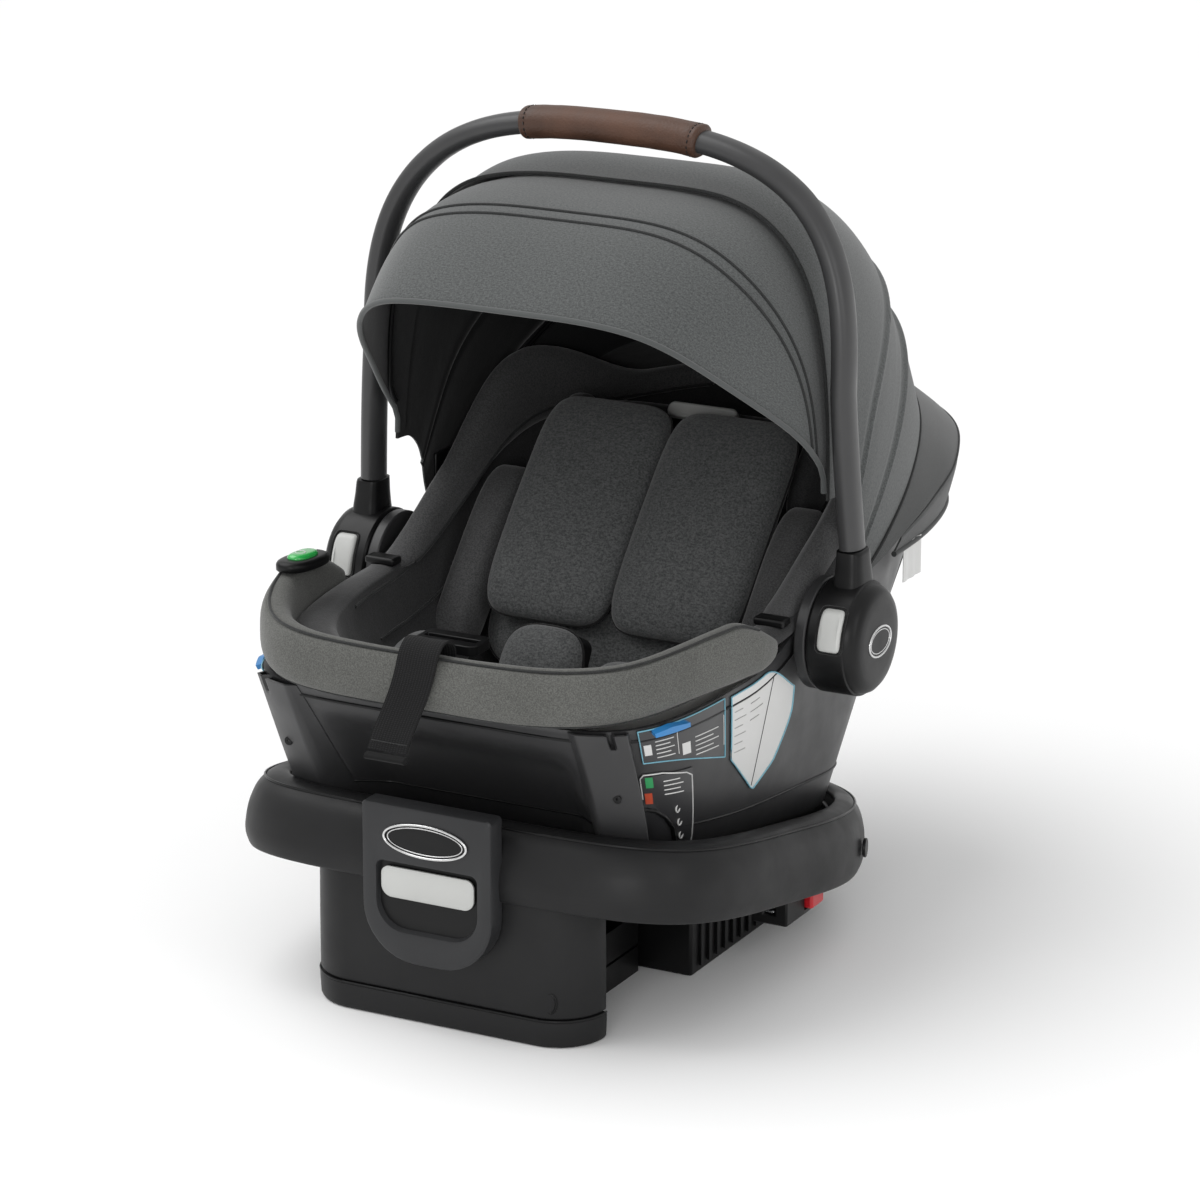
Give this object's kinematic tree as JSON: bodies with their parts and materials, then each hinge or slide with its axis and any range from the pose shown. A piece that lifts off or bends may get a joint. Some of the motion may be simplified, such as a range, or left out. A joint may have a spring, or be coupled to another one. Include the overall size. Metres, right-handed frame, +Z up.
{
  "type": "infant car seat",
  "caption": "Rear-facing infant car seat carrier with a swinging handle and folding canopy, latched on a vehicle base with a sliding foot",
  "frame": {"origin": "On the floor, under the middle of the object's overall box", "axes": "+Z up, -Y the foot end that faces the viewer, +Y the head end, X = 0 the symmetry plane"},
  "size_m": [0.4306, 0.69, 0.5932],
  "materials": {
    "dark_plastic": "fine moulded grain, satin",
    "grey_plastic": "satin",
    "light_plastic": "satin",
    "bright_trim": "satin metallic",
    "steel": "brushed",
    "red_plastic": "gloss",
    "foam": "matte beaded foam",
    "dark_fabric": "fine plain knit",
    "trim_fabric": "fine twill",
    "melange_fabric": "melange weave",
    "webbing": "woven webbing",
    "label_film": "printed film",
    "blue_plastic": "gloss",
    "green_fluid": "clear tinted",
    "leather": "smooth leather",
    "canopy_fabric": "melange weave"
  },
  "bodies": {
    "base": {"base_ring": "dark_plastic", "base_deck": "dark_plastic", "base_tub": "dark_plastic", "tub_ribs": "dark_plastic", "front_panel": "grey_plastic", "panel_badge": "bright_trim", "lever_spring": "steel", "anchor_connectors": "dark_plastic", "anchor_jaws": "steel", "pivot_caps": "dark_plastic", "latch_bars": "steel"},
    "foot": {"foot": "dark_plastic", "foot_sole": "dark_plastic"},
    "recline_lever": {"recline_lever": "light_plastic"},
    "anchor_button_left": {"anchor_button_left": "red_plastic"},
    "anchor_button_right": {"anchor_button_right": "red_plastic"},
    "release_handle": {"release_handle": "dark_plastic"},
    "latch_hooks": {"latch_hooks": "steel"},
    "buckle_button": {"buckle_button": "red_plastic"},
    "headrest": {"headrest": "dark_fabric", "headrest_handle": "light_plastic"},
    "handle": {"handle_tube": "grey_plastic", "handle_grip": "leather", "hub_covers": "dark_plastic", "hub_badges": "bright_trim", "button_springs": "steel"},
    "handle_button_left": {"handle_button_left": "light_plastic"},
    "handle_button_right": {"handle_button_right": "light_plastic"},
    "canopy_top": {"canopy_top": "canopy_fabric"},
    "canopy_front": {"canopy_front": "canopy_fabric", "canopy_bows_front": "steel"},
    "carrier": {"carrier_shell": "dark_plastic", "shell_pillars": "dark_plastic", "shell_screws": "steel", "foam_liner": "foam", "seat_cover": "dark_fabric", "rim_cover": "trim_fabric", "label_panels": "label_film", "belt_guides": "blue_plastic", "belt_hooks": "dark_plastic", "level_housing": "dark_plastic", "level_vial": "green_fluid", "hub_mounts": "dark_plastic", "canopy_clips": "dark_plastic", "back_cushion": "melange_fabric", "body_insert_left": "melange_fabric", "body_insert_right": "melange_fabric", "side_bolsters": "dark_fabric", "hip_pads": "melange_fabric", "crotch_pad": "melange_fabric", "buckle": "dark_plastic", "crotch_strap": "webbing", "harness_straps": "webbing", "splitter_plate": "steel", "adjuster_strap": "webbing", "adjuster_lock": "dark_plastic", "hub_gears": "steel", "canopy_drop": "canopy_fabric", "canopy_rear": "canopy_fabric", "canopy_bows_rear": "steel"}
  },
  "joints": [
    {"name": "foot_slide", "type": "slide", "parent": "base", "child": "foot", "axis": [0, 0, 1], "range_m": [0, 0.017]},
    {"name": "recline_lever_hinge", "type": "hinge", "parent": "base", "child": "recline_lever", "pos_m": [0, -0.302, 0.114], "axis": [-1, 0, 0], "range_deg": [0, 10], "stiffness_Nm_per_rad": 0.25},
    {"name": "anchor_button_left_press", "type": "slide", "parent": "base", "child": "anchor_button_left", "axis": [1, 0, 0], "range_m": [0, 0.003], "stiffness_N_per_m": 600},
    {"name": "anchor_button_right_press", "type": "slide", "parent": "base", "child": "anchor_button_right", "axis": [-1, 0, 0], "range_m": [0, 0.003], "stiffness_N_per_m": 600},
    {"name": "carrier_lift", "type": "slide", "parent": "base", "child": "carrier", "axis": [0, 0, 1], "range_m": [0, 0.12]},
    {"name": "release_handle_hinge", "type": "hinge", "parent": "carrier", "child": "release_handle", "pos_m": [0, 0.1836, 0.176], "axis": [1, 0, 0], "range_deg": [0, 20], "stiffness_Nm_per_rad": 0.6},
    {"name": "latch_hook_slide", "type": "slide", "parent": "carrier", "child": "latch_hooks", "axis": [0, 0.9816, -0.1908], "range_m": [0, 0.008]},
    {"name": "buckle_button_press", "type": "slide", "parent": "carrier", "child": "buckle_button", "axis": [0, 0.8829, -0.4695], "range_m": [0, 0.003], "stiffness_N_per_m": 500},
    {"name": "headrest_slide", "type": "slide", "parent": "carrier", "child": "headrest", "axis": [0, 0.673, 0.7396], "range_m": [0, 0.05]},
    {"name": "handle_hinge", "type": "hinge", "parent": "carrier", "child": "handle", "pos_m": [0, -0.046, 0.242], "axis": [1, 0, 0], "range_deg": [-56, 60]},
    {"name": "handle_button_left_press", "type": "slide", "parent": "handle", "child": "handle_button_left", "axis": [0, 1, 0], "range_m": [0, 0.004], "stiffness_N_per_m": 500},
    {"name": "handle_button_right_press", "type": "slide", "parent": "handle", "child": "handle_button_right", "axis": [0, 1, 0], "range_m": [0, 0.004], "stiffness_N_per_m": 500},
    {"name": "canopy_top_fold", "type": "hinge", "parent": "carrier", "child": "canopy_top", "pos_m": [0, -0.046, 0.242], "axis": [-1, 0, 0], "range_deg": [0, 18]},
    {"name": "canopy_front_fold", "type": "hinge", "parent": "canopy_top", "child": "canopy_front", "pos_m": [0, -0.046, 0.242], "axis": [-1, 0, 0], "range_deg": [0, 22.5]}
  ],
  "couplings": [
    {"joint": "latch_hook_slide", "follows": "release_handle_hinge", "m_per_rad": 0.0228},
    {"joint": "canopy_top_fold", "follows": "canopy_front_fold", "ratio": 0.8}
  ]
}
